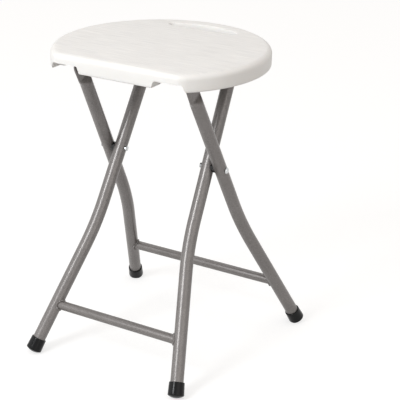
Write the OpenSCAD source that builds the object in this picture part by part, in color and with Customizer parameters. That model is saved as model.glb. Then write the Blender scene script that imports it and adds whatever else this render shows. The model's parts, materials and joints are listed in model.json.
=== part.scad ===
// Folding stool with a round moulded seat and two crossing leg frames of steel tube.
// X runs along the folding axis, -Y is the flat edge of the seat and +Y its handle side.
// Z = 0 is the floor, and the legs cross above the origin.

/* [Seat] */
// Radius of the round part of the seat
seat_r = 156; // [150:1:170]
// How far the centre of the round part lies in front of the leg crossing
seat_shift = 10; // [4:1:14]
// Distance from the leg crossing to the flat front edge
front_reach = 127; // [124:1:132]
// Radius of the two corners where the flat edge meets the round part
corner_r = 25; // [18:1:32]
// Height of the seat's edge
seat_h = 24.7; // [22:0.1:28]
// Thickness of the panel inside the edge
panel_t = 12.8; // [11:0.1:13.2]
// Rounding of the seat's upper edge
top_round = 8.6; // [4:0.1:10]
// Rounding of the seat's lower edge
low_round = 2.5; // [1:0.1:4]
// Width of the rim under the round part
rim_w = 17; // [12:0.5:18]
// Width of the rim under the flat edge
front_rim_w = 25; // [18:0.5:26]

/* [Handle slot] */
// Width of the bar left behind the slot for the hand
handle_w = 25.5; // [22:0.5:32]
// Width of the slot at its middle
slot_w = 24; // [20:0.5:28]
// Radius of the slot's round ends
slot_end_r = 7; // [5:0.5:9]

/* [Underside] */
// Distance from the middle to the inner end of each leg notch
notch_in = 58; // [54:0.5:59]
// Distance from the middle to the outer end of each leg notch
notch_out = 110; // [106:0.5:112]
// Height of the leg notches in the rim
notch_h = 10.6; // [10:0.1:11.5]
// Lean of the notch ends
notch_lean = 4; // [0:0.5:6]
// Number of moulded grooves under the panel
groove_n = 8; // [4:1:9]
// Distance between the grooves
groove_pitch = 17; // [14:0.5:18]
// Length of each groove
groove_l = 92; // [60:1:100]
// Width of each groove
groove_w = 7; // [4:0.5:9]
// Depth of each groove
groove_d = 5; // [2:0.5:7]

/* [Leg frames] */
// Outside diameter of the leg tube
tube_d = 19; // [18.4:0.1:19.6]
// Wall of the leg tube
tube_wall = 1.2; // [1:0.1:1.8]
// Leg length from the top pivot to the crossing
leg_upper = 160; // [156:1:170]
// Leg length from the crossing to the floor, along the frame
leg_lower = 332.5; // [310:0.5:350]
// Distance from the middle to each outer leg at its top pivot
outer_half = 92.2; // [92:0.1:93]
// Gap between the outer and the inner tube at the crossing
side_gap = 2.6; // [2:0.1:3]
// Outward slope of the upper legs in degrees
top_splay = 2.2; // [1:0.1:2.8]
// Outward slope of the outer frame's lower legs in degrees
outer_splay = 13.3; // [12.6:0.1:15]
// Outward slope of the inner frame's lower legs in degrees
inner_splay = 12.5; // [10:0.1:12.6]
// Distance from the crossing to the start of the bend in the outer legs
outer_bend_from = 74; // [60:1:78]
// Distance from the crossing to the start of the bend in the inner legs
inner_bend_from = 80; // [74:1:90]
// Radius of the leg bends
bend_r = 420; // [350:5:470]
// Diameter of the cross tubes near the floor
rung_d = 14; // [12:0.5:15]
// Wall of the cross tubes
rung_wall = 1.2; // [0.8:0.1:2]
// Distance along the frame from the floor up to the outer frame's cross tube
outer_rung_up = 89.9; // [84:0.1:104]
// Distance along the frame from the floor up to the inner frame's cross tube
inner_rung_up = 81.1; // [70:0.1:86]
// Throat of the weld bead round the cross tube ends
weld_w = 2.4; // [1:0.1:3]

/* [Flattened leg ends] */
// Thickness of the pressed end
flat_t = 3.6; // [3:0.1:4]
// Width of the pressed end
flat_w = 25.5; // [23:0.5:27]
// Reach of the rounded tip above the pivot
tip_reach = 14.6; // [13.6:0.1:15]
// Distance from the pivot to the end of the pressed stretch
flat_len = 18; // [16:0.5:20]
// Distance from the pivot to the full round tube
neck_len = 30; // [28:0.5:38]

/* [Foot caps] */
// Diameter of the cap at its mouth
cap_d = 22.6; // [22:0.1:23]
// Diameter of the cap near the floor
cap_low_d = 23.8; // [23:0.1:24.2]
// Length of the cap
cap_l = 23; // [20:0.5:28]
// Radius of the domed sole
dome_r = 20; // [17:0.5:24]
// Height of the flat that is cut into the sole
foot_cut = 1.2; // [0.6:0.1:1.8]
// Thickness of the sole
sole_t = 4.5; // [3:0.5:6]
// Rounding of the cap's mouth
cap_round = 1.2; // [0.5:0.1:1.5]

/* [Brackets and links] */
// Distance between the two pivots on the seat
ground_l = 77; // [74:0.1:80]
// Link length between its pivots
link_l = 78.7; // [75:0.1:82]
// Distance from the rim's lower face down to the pivots
pivot_drop = 5.1; // [4:0.1:7]
// Depth of the bracket below the pivots
bracket_low = 8.2; // [7.2:0.1:8.6]
// Reach of the bracket past the front pivot
bracket_front = 14.5; // [12:0.1:15]
// Gap between the rear end of the bracket and the rim of the seat
bracket_gap = 5.35; // [3:0.05:9]
// Sheet thickness of the bracket
bracket_t = 1.5; // [1.2:0.1:1.8]
// Rounding of the bracket's lower rear corner
bracket_round = 8.5; // [5:0.1:9]
// Rounding of the bracket's front end, below the pivot
bracket_nose = 16; // [12:0.5:17]
// Reach of the bracket's inner flange in front of the link rivet
flange_front = 14; // [10:0.5:20]
// Thickness of the link bar
link_t = 2.5; // [2:0.1:2.8]
// Width of the link bar
link_w = 13; // [11:0.5:14]
// Free space beside the link and beside the inner leg end
link_gap = 0.4; // [0.3:0.05:0.6]

/* [Fasteners] */
// Diameter of all pivot bolts and rivets
bolt_d = 6; // [5:0.1:6.4]
// Diameter of the domed bolt heads
head_d = 9.4; // [8.4:0.1:10]
// Height of the domed bolt heads
head_h = 2.8; // [2:0.1:3]
// Width across the flats of the pivot nuts
nut_af = 10; // [9:0.1:11]
// Thickness of the pivot nuts
nut_t = 5; // [4:0.1:5.4]
// Straight height of the domed nuts at the crossing
nut_base = 1.2; // [0.8:0.1:2.4]
// Diameter of the domed nuts at the crossing
nut_dome_d = 7.8; // [7.2:0.1:9]
// Height of the dome of those nuts
nut_dome_h = 1.6; // [1:0.1:2.4]
// Diameter of the black washers at the crossing
washer_d = 13.4; // [11:0.1:15]
// Diameter of the flat washers at the front pivots
thrust_d = 15; // [12:0.1:16]
// Thickness of the flat washers at the front pivots
thrust_t = 0.8; // [0.6:0.1:1]
// Diameter of the sleeve on the link rivet
sleeve_d = 9; // [8:0.1:10]
// Diameter of the bracket screws
screw_d = 4; // [3:0.1:4.6]
// Diameter of the bracket screw heads
screw_head_d = 7.8; // [7:0.1:8.2]
// Height of the bracket screw heads
screw_head_h = 2.6; // [2:0.1:2.8]
// Rounding at the rim of the bracket screw heads
screw_head_bevel = 0.9; // [0.5:0.1:1.2]
// Length of the cross recess in the screw heads
cross_l = 5; // [3:0.1:5.5]
// Width of the cross recess in the screw heads
cross_w = 1; // [0.6:0.1:1.4]
// Depth of the cross recess in the screw heads
cross_d = 1.3; // [0.6:0.1:1.5]
// Distance from the front pivot to the first bracket screw
screw_front = 18; // [14:0.5:24]
// Distance from the last bracket screw to the rear pivot
screw_rear = 26; // [22:0.5:32]
// Length of the bracket screws under the head
screw_l = 11; // [9:0.1:12]

/* [Fits] */
// Radial clearance of each turning pivot
run_fit = 0.06; // [0.03:0.01:0.1]
// Clearance between parts that stay together
still_fit = 0.03; // [0.01:0.01:0.05]
// Radial play of the bracket screws in the sheet
screw_play = 0.2; // [0.1:0.05:0.3]
// Side clearance between parts that turn past each other
turn_gap = 0.3; // [0.2:0.05:0.4]

/* [Hidden] */
$fn = 96;

// Linkage in the side view
tube_r = tube_d / 2;
bolt_r = bolt_d / 2;
pivot_half = (ground_l + link_l) / 2;
lean = acos(pivot_half / leg_upper);
tilt = 90 - lean;
cross_z = leg_lower * sin(lean);
pivot_z = cross_z + leg_upper * sin(lean);
front_y = -pivot_half;
rivet_y = front_y + ground_l;
rear_y = pivot_half;

// Levels of the seat
rim_z = pivot_z + pivot_drop;
top_z = rim_z + seat_h;
panel_z = top_z - panel_t;
seat_y = -seat_shift;
flat_y = -front_reach;

// Stations along the folding axis
inner_half = outer_half - tube_d - side_gap;
outer_cross_x = outer_half + (leg_upper - neck_len) * tan(top_splay);
inner_cross_x = outer_cross_x - tube_d - side_gap;
outer_end_in = outer_half - flat_t / 2;
outer_end_out = outer_half + flat_t / 2;
inner_end_in = inner_half - flat_t / 2;
inner_end_out = inner_half + flat_t / 2;
gap_mid_x = outer_cross_x - tube_r - side_gap / 2;
bracket_out_x = outer_end_in - thrust_t - turn_gap;
link_out_x = inner_end_in - link_gap;
link_in_x = link_out_x - link_t;
bracket_in_x = link_in_x - link_gap - bracket_t;
bracket_w = bracket_out_x - bracket_in_x;
bracket_mid_x = (bracket_out_x + bracket_in_x) / 2;
bracket_front_y = front_y - bracket_front;
bracket_rear_y = seat_y + sqrt(pow(seat_r - rim_w, 2) - pow(bracket_out_x, 2)) - bracket_gap;
screw_rows = [front_y + screw_front, rivet_y, rear_y - screw_rear];

// Places along the legs, from the top pivot down
outer_bend_at = leg_upper + outer_bend_from;
inner_bend_at = leg_upper + inner_bend_from;
outer_rung_at = leg_upper + leg_lower - outer_rung_up;
inner_rung_at = leg_upper + leg_lower - inner_rung_up;
foot_depth = leg_upper + leg_lower - (dome_r - foot_cut) / sin(lean);

// The bends are this much fuller than the straight tube, which runs into them by the lap
bend_swell = 0.05;
bend_lap = 0.5;
// Depth and inset of the pressed neck where it runs into the tube
neck_lap = 0.5;
neck_inset = 0.05;

// Length of solid metal between a leg's neck and its bore
neck_plug = 2;

// Length of the front bolt that shows past its nut
bolt_end = 1;

// Corner discs are this much fuller than the curve and the line that they join
corner_swell = 0.05;

// Extra room under a crossing bolt's head and nut, for the slope of the tube
seat_slope = head_d / 2 * tan(top_splay) + still_fit;

// Small allowance that lets a cutting tool pass through a face
cut = 1;

// Plan outlines

// Round plan about the seat's centre with a straight front and rounded corners
module plan(r, front, corner) {
    corner_y = front + corner;
    corner_x = sqrt(pow(r - corner, 2) - pow(corner_y - seat_y, 2));
    turn = atan2(corner_y - seat_y, corner_x);
    reach = 6 * corner;
    difference() {
        translate([0, seat_y])
            circle(r, $fn = 180);
        translate([-2 * r, front - 2 * r])
            square([4 * r, 2 * r]);
        for (s = [0, 1])
            mirror([s, 0])
                translate([corner_x, corner_y])
                    polygon([[0, 0], reach * [cos(turn), sin(turn)], [reach, -reach], [0, -reach]]);
    }
    for (s = [-1, 1])
        translate([s * corner_x, corner_y])
            circle(corner + corner_swell);
}

module slab(r, front, corner, z_low, z_high) {
    translate([0, 0, z_low])
        linear_extrude(z_high - z_low)
            plan(r, front, corner);
}

// Section through the seat's edge, from a centre line out to a distance r
module edge_section(r) {
    translate([0, low_round])
        square([r, seat_h - low_round - top_round]);
    square([r - low_round, seat_h / 2]);
    square([r - top_round, seat_h]);
    translate([r - low_round, low_round])
        circle(low_round);
    translate([r - top_round, seat_h - top_round])
        circle(top_round);
}

// Seat

// The round part, the straight front bar and the two corner discs that join them
module seat_block() {
    bar_w = 2 * corner_r;
    corner_y = flat_y + corner_r;
    corner_x = sqrt(pow(seat_r - corner_r, 2) - pow(corner_y - seat_y, 2));
    join_y = seat_y + (corner_y - seat_y) * seat_r / (seat_r - corner_r);
    intersection() {
        translate([0, seat_y, 0])
            rotate_extrude()
                edge_section(seat_r);
        translate([-2 * seat_r, join_y, -cut])
            cube([4 * seat_r, 4 * seat_r, seat_h + 2 * cut]);
    }
    translate([corner_x, flat_y + bar_w, 0])
        rotate([90, 0, -90])
            linear_extrude(2 * corner_x)
                edge_section(bar_w);
    for (s = [-1, 1])
        translate([s * corner_x, corner_y, 0])
            rotate_extrude()
                edge_section(corner_r + corner_swell);
}

module leg_notch() {
    translate([0, flat_y + front_rim_w + cut, 0])
        rotate([90, 0, 0])
            linear_extrude(front_rim_w + 2 * cut)
                polygon([[notch_in, -cut], [notch_in + notch_lean, notch_h],
                         [notch_out - notch_lean, notch_h], [notch_out, -cut]]);
}

module panel_grooves() {
    first = (groove_n - 1) * groove_pitch / 2;
    for (i = [0 : groove_n - 1])
        translate([0, i * groove_pitch - first - seat_shift, seat_h - panel_t - cut])
            linear_extrude(groove_d + cut) {
                square([groove_l - groove_w, groove_w], center = true);
                for (s = [-1, 1])
                    translate([s * (groove_l - groove_w) / 2, 0])
                        circle(groove_w / 2);
            }
}

module seat() {
    slot_r = seat_r - handle_w;
    slot_front = seat_y + slot_r - slot_w;
    panel_low = seat_h - panel_t;
    color("#f1f0ec")
        translate([0, 0, rim_z])
            difference() {
                seat_block();
                slab(seat_r - rim_w, flat_y + front_rim_w, corner_r, -cut, panel_low);
                slab(slot_r, slot_front, slot_end_r, panel_low - cut, seat_h + cut);
                leg_notch();
                mirror([1, 0, 0])
                    leg_notch();
                panel_grooves();
                for (s = [-1, 1], y = screw_rows)
                    translate([s * bracket_mid_x, y, panel_low - cut])
                        cylinder(r = screw_d / 2 + still_fit, h = cut + screw_l - bracket_t + still_fit);
            }
}

// Brackets

// Side view of a bracket flange from y_from to its rear end, with two rounded lower corners
module flange_plan(y_from, nose) {
    low = pivot_z - bracket_low;
    height = panel_z - low;
    length = bracket_rear_y - y_from;
    translate([y_from, low])
        difference() {
            square([length, height]);
            corner_cut(nose);
            translate([length, 0])
                mirror([1, 0])
                    corner_cut(bracket_round);
        }
}

// What is cut off a lower left corner at the origin to round it
module corner_cut(r) {
    difference() {
        translate([-cut, -cut])
            square(r + cut);
        translate([r, r])
            circle(r);
    }
}

module flange(x, y_from, nose) {
    translate([x, 0, 0])
        rotate([90, 0, 90])
            linear_extrude(bracket_t)
                flange_plan(y_from, nose);
}

module bracket() {
    color("#8b8b8a")
        difference() {
            union() {
                flange(bracket_in_x, rivet_y - flange_front, bracket_round);
                flange(bracket_out_x - bracket_t, bracket_front_y, bracket_nose);
                translate([bracket_in_x, bracket_front_y, panel_z - bracket_t])
                    cube([bracket_w, bracket_rear_y - bracket_front_y, bracket_t]);
            }
            for (y = [front_y, rivet_y])
                axle(y, pivot_z, bracket_in_x - cut, bracket_out_x + cut, bolt_r + still_fit);
            for (y = screw_rows)
                translate([bracket_mid_x, y, panel_z - bracket_t - cut])
                    cylinder(r = screw_d / 2 + screw_play, h = bracket_t + 2 * cut);
        }
}

// Cylinder along the folding axis between two stations
module axle(y, z, x_from, x_to, r) {
    translate([x_from, y, z])
        rotate([0, 90, 0])
            cylinder(r = r, h = x_to - x_from);
}

// Domed head that sits at x and points outwards (dir = 1) or inwards (dir = -1)
module dome(y, z, x, dir, d, h) {
    ball = (pow(d / 2, 2) + pow(h, 2)) / (2 * h);
    translate([x, y, z])
        rotate([0, 90 * dir, 0])
            rotate_extrude()
                intersection() {
                    square([d / 2, h]);
                    translate([0, h - ball])
                        circle(ball);
                }
}

module dome_head(y, z, x, dir) {
    dome(y, z, x, dir, head_d, head_h);
}

// Cross-shaped recess in a screw head
module screw_cross(z) {
    for (a = [0, 90])
        translate([0, 0, z])
            rotate([0, 0, a])
                cube([cross_l, cross_w, 2 * cross_d], center = true);
}

module bracket_screws() {
    head_z = panel_z - bracket_t;
    head_r = screw_head_d / 2;
    color("#c3c6c9")
        for (y = screw_rows)
            translate([bracket_mid_x, y, 0])
                difference() {
                    union() {
                        translate([0, 0, head_z])
                            cylinder(r = screw_d / 2, h = screw_l);
                        translate([0, 0, head_z - screw_head_h])
                            cylinder(r1 = head_r - screw_head_bevel, r2 = head_r, h = screw_head_bevel);
                        translate([0, 0, head_z - screw_head_h + screw_head_bevel])
                            cylinder(r = head_r, h = screw_head_h - screw_head_bevel);
                    }
                    screw_cross(head_z - screw_head_h);
                }
}

module link_rivet() {
    color("#d6d8da") {
        axle(rivet_y, pivot_z, bracket_in_x, bracket_out_x, bolt_r);
        dome_head(rivet_y, pivot_z, bracket_out_x, 1);
        dome_head(rivet_y, pivot_z, bracket_in_x, -1);
    }
}

module rivet_sleeve() {
    color("#c3c6c9")
        difference() {
            axle(rivet_y, pivot_z, link_out_x + turn_gap, bracket_out_x - bracket_t, sleeve_d / 2);
            axle(rivet_y, pivot_z, link_out_x, bracket_out_x, bolt_r + still_fit);
        }
}

module front_bolt() {
    tail_x = bracket_out_x - bracket_t - nut_t - bolt_end;
    color("#d6d8da") {
        axle(front_y, pivot_z, tail_x, outer_end_out + turn_gap, bolt_r);
        dome_head(front_y, pivot_z, outer_end_out + turn_gap, 1);
    }
}

module front_nut() {
    seat_x = bracket_out_x - bracket_t;
    color("#c3c6c9")
        difference() {
            translate([seat_x - nut_t, front_y, pivot_z])
                rotate([0, 90, 0])
                    cylinder(d = nut_af / cos(30), h = nut_t, $fn = 6);
            axle(front_y, pivot_z, seat_x - nut_t - cut, seat_x + cut, bolt_r + still_fit);
        }
}

module front_washer() {
    color("#c3c6c9")
        difference() {
            axle(front_y, pivot_z, bracket_out_x, bracket_out_x + thrust_t, thrust_d / 2);
            axle(front_y, pivot_z, bracket_out_x - cut, outer_end_in, bolt_r + still_fit);
        }
}

// Links

module link() {
    color("#848484")
        difference() {
            union() {
                for (y = [rivet_y, rear_y])
                    axle(y, pivot_z, link_in_x, link_out_x, link_w / 2);
                translate([link_in_x, rivet_y, pivot_z - link_w / 2])
                    cube([link_t, link_l, link_w]);
            }
            axle(rivet_y, pivot_z, link_in_x - cut, link_out_x + cut, bolt_r + run_fit);
            axle(rear_y, pivot_z, link_in_x - cut, link_out_x + cut, bolt_r + still_fit);
        }
}

module link_plug() {
    color("#c3c6c9")
        axle(rear_y, pivot_z, link_in_x, link_out_x, bolt_r);
}

// Leg frames

// Places a frame's own axes, with its pivot at the origin and the legs running down -Z
module outer_place() {
    translate([0, front_y, pivot_z])
        rotate([tilt, 0, 0])
            children();
}

module inner_place() {
    translate([0, rear_y, pivot_z])
        rotate([-tilt, 0, 0])
            children();
}

// Round bar that starts at the origin, runs down -Z and bends towards +X
module bent_bar(r, first, turn, last) {
    translate([0, 0, -first - bend_lap])
        cylinder(r = r, h = first + bend_lap);
    translate([bend_r, 0, -first])
        rotate([90, 0, 0])
            rotate([0, 0, 180])
                rotate_extrude(angle = turn, $fn = 180)
                    translate([bend_r, 0])
                        circle(r + bend_swell);
    translate([bend_r * (1 - cos(turn)), 0, -first - bend_r * sin(turn)])
        rotate([0, -turn, 0])
            translate([0, 0, -last])
                cylinder(r = r, h = last + bend_lap);
}

function straight_l(bend_at) = (bend_at - neck_len) / cos(top_splay);
function bend_end(bend_at, splay) = bend_at + bend_r * (sin(splay) - sin(top_splay));
function lower_l(bend_at, splay) = (foot_depth - bend_end(bend_at, splay)) / cos(splay);
function foot_x(half, bend_at, splay) =
    half + straight_l(bend_at) * sin(top_splay)
    + bend_r * (cos(top_splay) - cos(splay))
    + lower_l(bend_at, splay) * sin(splay);
function leg_x(half, bend_at, splay, depth) =
    foot_x(half, bend_at, splay) - (foot_depth - depth) * tan(splay);

module leg_bar(half, bend_at, splay, r, more) {
    translate([half, 0, -neck_len])
        rotate([0, -top_splay, 0])
            bent_bar(r, straight_l(bend_at), splay - top_splay,
                     lower_l(bend_at, splay) + dome_r - sole_t + more);
}

// Side view of the pressed leg end
module end_plan() {
    translate([-flat_w / 2, -flat_len])
        square([flat_w, flat_len + tip_reach - flat_w / 2]);
    translate([0, tip_reach - flat_w / 2])
        circle(flat_w / 2);
}

module leg(half, bend_at, splay, cross_x) {
    skin = 0.1;
    difference() {
        union() {
            leg_bar(half, bend_at, splay, tube_r, 0);
            translate([half - flat_t / 2, 0, 0])
                rotate([90, 0, 90])
                    linear_extrude(flat_t)
                        end_plan();
            hull() {
                translate([half, 0, -flat_len + skin / 2])
                    cube([flat_t, flat_w, skin], center = true);
                translate([half, 0, -neck_len])
                    rotate([0, -top_splay, 0])
                        translate([0, 0, -neck_lap])
                            cylinder(r = tube_r - neck_inset, h = skin, $fn = 32);
            }
        }
        difference() {
            leg_bar(half, bend_at, splay, tube_r - tube_wall, cut);
            translate([half, 0, -neck_len - neck_plug])
                cylinder(r = tube_d, h = 2 * neck_plug);
        }
        axle(0, 0, half - tube_d, half + tube_d, bolt_r + run_fit);
        axle(0, -leg_upper, cross_x - tube_d, cross_x + tube_d, bolt_r + run_fit);
    }
}

module outer_leg() {
    color("#93918f")
        outer_place()
            leg(outer_half, outer_bend_at, outer_splay, outer_cross_x);
}

module inner_leg() {
    color("#93918f")
        inner_place()
            leg(inner_half, inner_bend_at, inner_splay, inner_cross_x);
}

// Cross tube between two legs, with a weld bead where each end meets its leg
module rung(half, bend_at, splay, depth) {
    x = leg_x(half, bend_at, splay, depth);
    rung_r = rung_d / 2;
    bore_r = rung_r - rung_wall;
    bead_r = rung_r + weld_w;
    bead_x = x - tube_r;
    difference() {
        translate([0, 0, -depth])
            rotate([0, 90, 0])
                rotate_extrude()
                    polygon([[bore_r, -x], [bead_r, -x], [bead_r, -bead_x], [rung_r, weld_w - bead_x],
                             [rung_r, bead_x - weld_w], [bead_r, bead_x], [bead_r, x], [bore_r, x]]);
        for (s = [0, 1])
            mirror([s, 0, 0])
                translate([x, 0, -depth])
                    rotate([0, -splay, 0])
                        cylinder(r = tube_r + still_fit, h = 4 * bead_r, center = true);
    }
}

module outer_rung() {
    color("#93918f")
        outer_place()
            rung(outer_half, outer_bend_at, outer_splay, outer_rung_at);
}

module inner_rung() {
    color("#93918f")
        inner_place()
            rung(inner_half, inner_bend_at, inner_splay, inner_rung_at);
}

// Crossing pivots

module crossing_bolt() {
    head_x = outer_cross_x + tube_r + seat_slope;
    tail_x = inner_cross_x - tube_r - turn_gap - seat_slope - nut_base;
    color("#d6d8da") {
        axle(0, cross_z, tail_x, head_x, bolt_r);
        dome_head(0, cross_z, head_x, 1);
    }
}

module crossing_nut() {
    x = inner_cross_x - tube_r - turn_gap - seat_slope;
    color("#d6d8da")
        difference() {
            union() {
                axle(0, cross_z, x - nut_base, x, nut_dome_d / 2);
                dome(0, cross_z, x - nut_base, -1, nut_dome_d, nut_dome_h);
            }
            axle(0, cross_z, x - nut_base, x + cut, bolt_r + still_fit);
        }
}

// Straight stretch of a leg round the crossing
module upper_tube(half, r) {
    translate([half, 0, -neck_len])
        rotate([0, -top_splay, 0])
            translate([0, 0, -leg_upper])
                cylinder(r = r, h = leg_upper);
}

module outer_washer() {
    color("#161616")
        difference() {
            axle(0, cross_z, gap_mid_x + turn_gap / 2, outer_cross_x, washer_d / 2);
            outer_place()
                upper_tube(outer_half, tube_r + still_fit);
            axle(0, cross_z, gap_mid_x - cut, outer_cross_x, bolt_r + still_fit);
        }
}

module inner_washer() {
    color("#161616")
        difference() {
            axle(0, cross_z, inner_cross_x, gap_mid_x - turn_gap / 2, washer_d / 2);
            inner_place()
                upper_tube(inner_half, tube_r + still_fit);
            axle(0, cross_z, inner_cross_x, gap_mid_x + cut, bolt_r + run_fit);
        }
}

// Bolt of the rear pivot, which ends flush with the leg so that the link is free of it
module rear_bolt() {
    color("#d6d8da") {
        axle(rear_y, pivot_z, inner_end_in, inner_end_out, bolt_r);
        dome_head(rear_y, pivot_z, inner_end_out, 1);
    }
}

// Foot caps

module cap_body() {
    low_r = cap_low_d / 2;
    mouth_r = cap_d / 2;
    rotate_extrude()
        intersection() {
            union() {
                polygon([[0, 0], [low_r, 0], [mouth_r, cap_l - cap_round],
                         [mouth_r - cap_round, cap_l - cap_round], [mouth_r - cap_round, cap_l], [0, cap_l]]);
                translate([mouth_r - cap_round, cap_l - cap_round])
                    circle(cap_round);
            }
            translate([0, dome_r])
                union() {
                    circle(dome_r);
                    square([dome_r, cap_l]);
                }
        }
}

module foot(half, bend_at, splay) {
    translate([foot_x(half, bend_at, splay), 0, -foot_depth])
        rotate([0, -splay, 0])
            translate([0, 0, -dome_r])
                difference() {
                    cap_body();
                    translate([0, 0, sole_t])
                        cylinder(r = tube_r + still_fit, h = cap_l);
                }
}

module floor_cut() {
    wide = 4 * seat_r;
    difference() {
        children();
        translate([-wide / 2, -wide / 2, -dome_r])
            cube([wide, wide, dome_r]);
    }
}

module outer_foot() {
    color("#1b1b1b")
        floor_cut()
            outer_place()
                foot(outer_half, outer_bend_at, outer_splay);
}

module inner_foot() {
    color("#1b1b1b")
        floor_cut()
            inner_place()
                foot(inner_half, inner_bend_at, inner_splay);
}

// A pair's left piece is the mirror image of its right piece
module left() {
    mirror([1, 0, 0])
        children();
}

seat();
left() bracket();  // bracket_left
bracket();  // bracket_right
left() bracket_screws();  // bracket_screws_left
bracket_screws();  // bracket_screws_right
left() link_rivet();  // link_rivet_left
link_rivet();  // link_rivet_right
left() rivet_sleeve();  // rivet_sleeve_left
rivet_sleeve();  // rivet_sleeve_right
left() front_bolt();  // front_bolt_left
front_bolt();  // front_bolt_right
left() front_nut();  // front_nut_left
front_nut();  // front_nut_right
left() front_washer();  // front_washer_left
front_washer();  // front_washer_right
left() link();  // link_left
link();  // link_right
left() link_plug();  // link_plug_left
link_plug();  // link_plug_right
left() outer_leg();  // outer_leg_left
outer_leg();  // outer_leg_right
outer_rung();
left() inner_leg();  // inner_leg_left
inner_leg();  // inner_leg_right
inner_rung();
left() crossing_bolt();  // crossing_bolt_left
crossing_bolt();  // crossing_bolt_right
left() crossing_nut();  // crossing_nut_left
crossing_nut();  // crossing_nut_right
left() outer_washer();  // outer_washer_left
outer_washer();  // outer_washer_right
left() inner_washer();  // inner_washer_left
inner_washer();  // inner_washer_right
left() rear_bolt();  // rear_bolt_left
rear_bolt();  // rear_bolt_right
left() outer_foot();  // outer_foot_left
outer_foot();  // outer_foot_right
left() inner_foot();  // inner_foot_left
inner_foot();  // inner_foot_right
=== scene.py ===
# %% [markdown]
# # A folding stool with a moulded seat
#
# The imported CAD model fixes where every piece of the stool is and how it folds.
# This lesson adds the looks: a moulded seat, swept tubes, weld beads, bolts and rubber feet.
# Lengths are written in millimetres and turned into metres where a mesh is made. The camera,
# the floor and the lamps are placed in metres.

# %% Load the frame
import json
import math
import bpy
import bmesh
from mathutils import Matrix, Vector

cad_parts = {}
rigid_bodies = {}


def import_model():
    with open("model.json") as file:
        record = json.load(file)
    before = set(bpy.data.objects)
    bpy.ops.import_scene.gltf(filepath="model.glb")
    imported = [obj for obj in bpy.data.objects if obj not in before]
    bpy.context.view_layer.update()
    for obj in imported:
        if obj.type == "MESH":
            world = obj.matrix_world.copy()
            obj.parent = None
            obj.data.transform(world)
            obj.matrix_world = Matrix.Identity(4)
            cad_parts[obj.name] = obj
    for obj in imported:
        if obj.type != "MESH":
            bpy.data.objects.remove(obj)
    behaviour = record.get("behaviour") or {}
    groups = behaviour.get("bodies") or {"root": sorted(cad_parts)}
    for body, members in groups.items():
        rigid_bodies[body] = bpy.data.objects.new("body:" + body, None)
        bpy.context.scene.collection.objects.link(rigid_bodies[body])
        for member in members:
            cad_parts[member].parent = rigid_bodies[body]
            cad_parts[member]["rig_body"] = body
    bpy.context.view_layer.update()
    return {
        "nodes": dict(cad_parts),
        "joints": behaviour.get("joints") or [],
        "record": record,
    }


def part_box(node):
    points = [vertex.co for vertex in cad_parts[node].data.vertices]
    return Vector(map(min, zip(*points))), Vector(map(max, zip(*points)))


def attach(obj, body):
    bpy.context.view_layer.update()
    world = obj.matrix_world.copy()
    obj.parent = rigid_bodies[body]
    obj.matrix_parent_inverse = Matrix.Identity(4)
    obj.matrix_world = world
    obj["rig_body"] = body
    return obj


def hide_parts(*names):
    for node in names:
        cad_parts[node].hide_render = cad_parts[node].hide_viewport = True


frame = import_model()
MM = 0.001
joint = {j["name"]: Vector(j["pos_m"]) / MM for j in frame["joints"]}

# %% [markdown]
# ## Sizes
# These are the sizes of the real stool in millimetres. A head and a nut are given by the radius
# and height of their dome. The joints give the pivots, so the lean of the legs follows from two
# of them.

# %% Sizes
TUBE_R = 9.5
FLAT = dict(thick=3.6, wide=25.5, tip=14.6, end=18.0, neck=30.0)
TOP_SPLAY = math.radians(2.2)
BEND_R = 420.0
LEGS = {
    "outer": dict(half=92.2, bend_at=234.0, splay=math.radians(13.3), rung_at=402.6),
    "inner": dict(half=70.6, bend_at=240.0, splay=math.radians(12.5), rung_at=411.4),
}
RUNG_R = 7.0
BOLT_R = 3.0
LEG_UPPER = 160.0
LEG_LENGTH = 492.5
SIDE_GAP = 2.6
PIVOT_DROP = 5.1
SEAT = dict(r=156.0, shift=10.0, front=-127.0, corner=25.0, high=24.7, panel=11.9)
RIM = dict(round_wide=17.0, front_wide=25.0, top_round=8.6, low_round=2.5)
SLOT = dict(from_edge=25.5, wide=24.0, end_r=7.0, top_round=2.4)
NOTCH = dict(inner=58.0, outer=110.0, slope=0.3, ceiling=10.6, round=2.5)
GROOVE = dict(count=8, pitch=17.0, half=42.5, r=3.5)
FOOT = dict(mouth=11.3, low=11.9, long=23.0, dome=20.0, cut=1.2, sole=4.5, edge=1.6, lip=1.1)
HEAD = (4.7, 2.8)
NUT = (3.9, 1.6)

front_pivot, crossing, rivet = joint["fold"], joint["crossing"], joint["link_swing"]
rear_pivot = Vector((0, -front_pivot.y, front_pivot.z))
tilt = math.atan2(crossing.y - front_pivot.y, front_pivot.z - crossing.z)
rim_z = front_pivot.z + PIVOT_DROP
foot_depth = LEG_LENGTH - (FOOT["dome"] - FOOT["cut"]) / math.cos(tilt)
print("the legs lean %.2f degrees from upright" % math.degrees(tilt))

# %% [markdown]
# ## Camera
# The camera was found by fitting the legs, feet and seat edge of the photograph. A lens shift
# stands for the part of the picture that lies away from the lens axis.

# %% Camera
scene = bpy.context.scene
camera = bpy.data.objects.new("camera", bpy.data.cameras.new("camera"))
scene.collection.objects.link(camera)
right = Vector((0.819732, 0.572709, -0.006649))
up = Vector((-0.227135, 0.335717, 0.914168))
back = Vector((0.525785, -0.747863, 0.405280))
camera.matrix_world = Matrix.Translation((1.00265, -1.58922, 0.95731)) @ Matrix(
    (right, up, back)).transposed().to_4x4()
camera.data.sensor_width = 36.0
camera.data.lens = 122.008
camera.data.shift_x = 0.2500
camera.data.shift_y = 0.1505
camera.data.clip_end = 50.0
scene.camera = camera
scene.view_settings.view_transform = "Standard"
print("camera set, lens %.1f mm" % camera.data.lens)

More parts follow.
